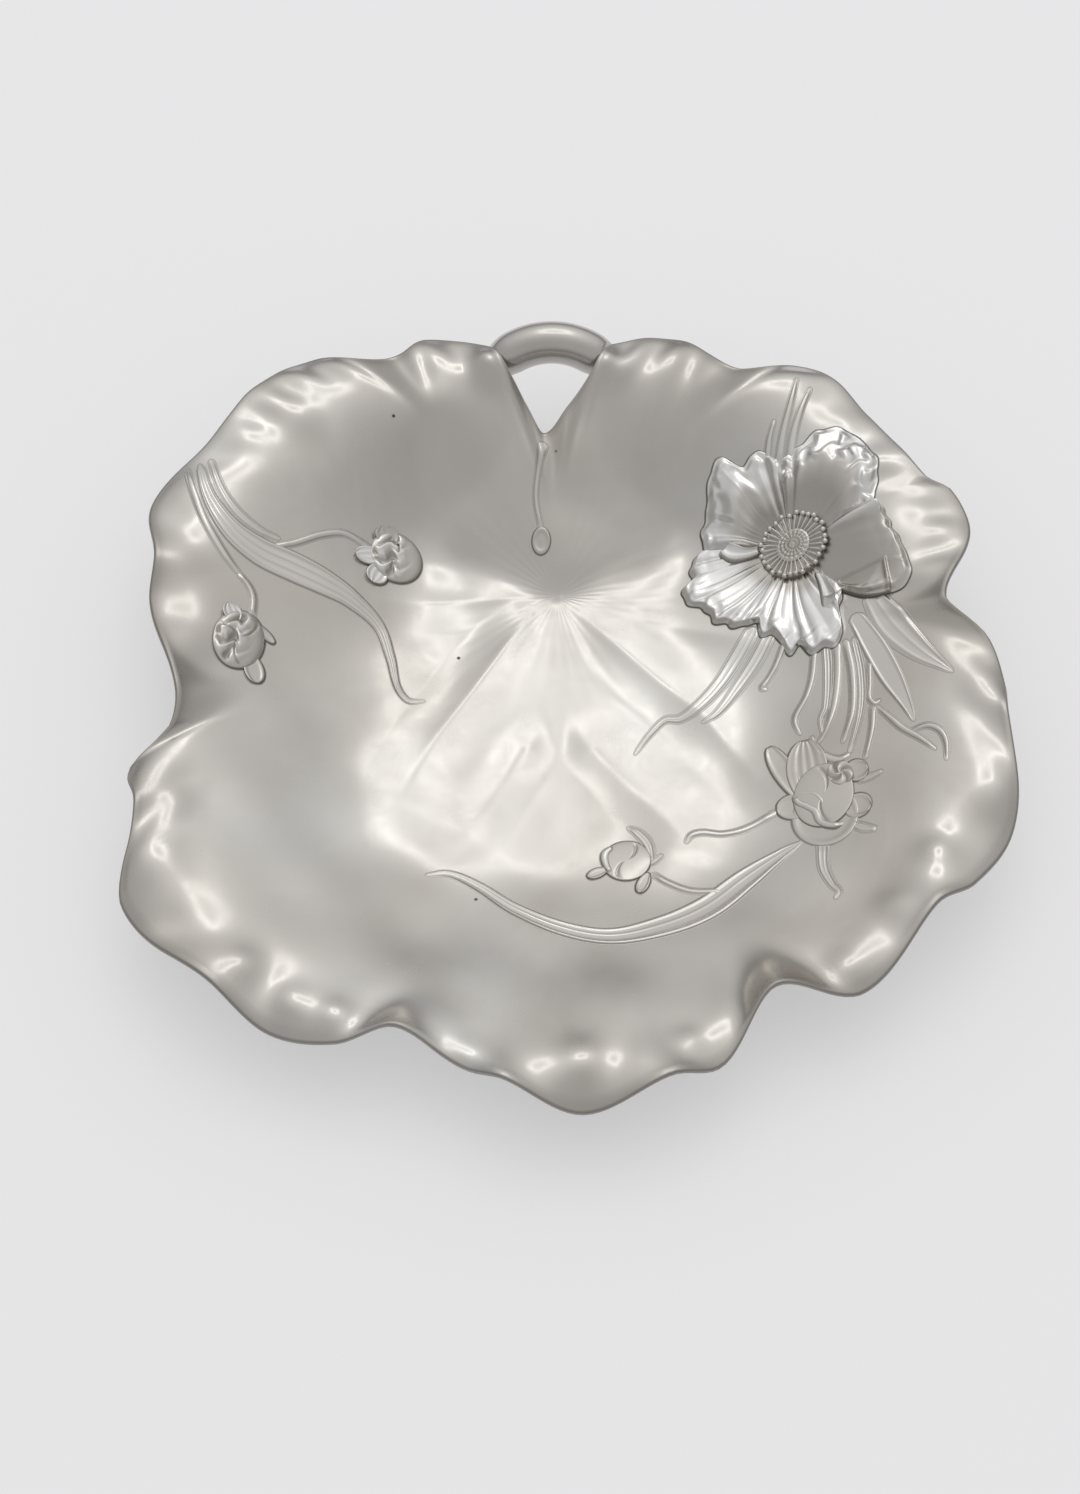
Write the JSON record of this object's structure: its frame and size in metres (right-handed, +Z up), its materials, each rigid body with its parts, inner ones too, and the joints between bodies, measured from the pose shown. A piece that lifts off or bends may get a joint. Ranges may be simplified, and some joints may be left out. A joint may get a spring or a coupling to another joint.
{
  "type": "valet tray",
  "caption": "Shallow cast pewter tray in the shape of a ruffled lily-pad leaf, with a finger loop at the back and poppy relief, for keys, coins and rings.",
  "frame": {"origin": "centre of the flat standing face, on the surface that the tray stands on", "axes": "+Z up out of the dish, +Y towards the finger loop at the back, +X to the right seen from the front"},
  "size_m": [0.3088, 0.3109, 0.0527],
  "materials": {
    "dish": "cast pewter, hand polished, with a soft grey patina in the folds",
    "handle": "cast pewter, darker where it is handled",
    "relief": "cast pewter relief, bright on the crests and dark in the parting lines"
  },
  "bodies": {
    "root": {"leaf_dish": "dish", "loop_handle": "handle", "notch_stalk": "relief", "stalk_drop": "relief", "poppy_petal_left": "relief", "poppy_petal_back": "relief", "poppy_petal_right": "relief", "poppy_petal_front": "relief", "poppy_stamens": "relief", "poppy_seed_head": "relief", "poppy_stem": "relief", "poppy_leaf_left": "relief", "poppy_leaf_middle": "relief", "poppy_leaf_right": "relief", "poppy_leaf_outer": "relief", "bloom_petals": "relief", "bloom_core": "relief", "bloom_sepals": "relief", "bud_front": "relief", "bud_front_sepals": "relief", "bud_front_stem": "relief", "sweep_leaf": "relief", "sweep_tendril": "relief", "spray_leaf": "relief", "bud_upper": "relief", "bud_upper_stem": "relief", "bud_lower": "relief", "bud_lower_stem": "relief"}
  },
  "joints": []
}
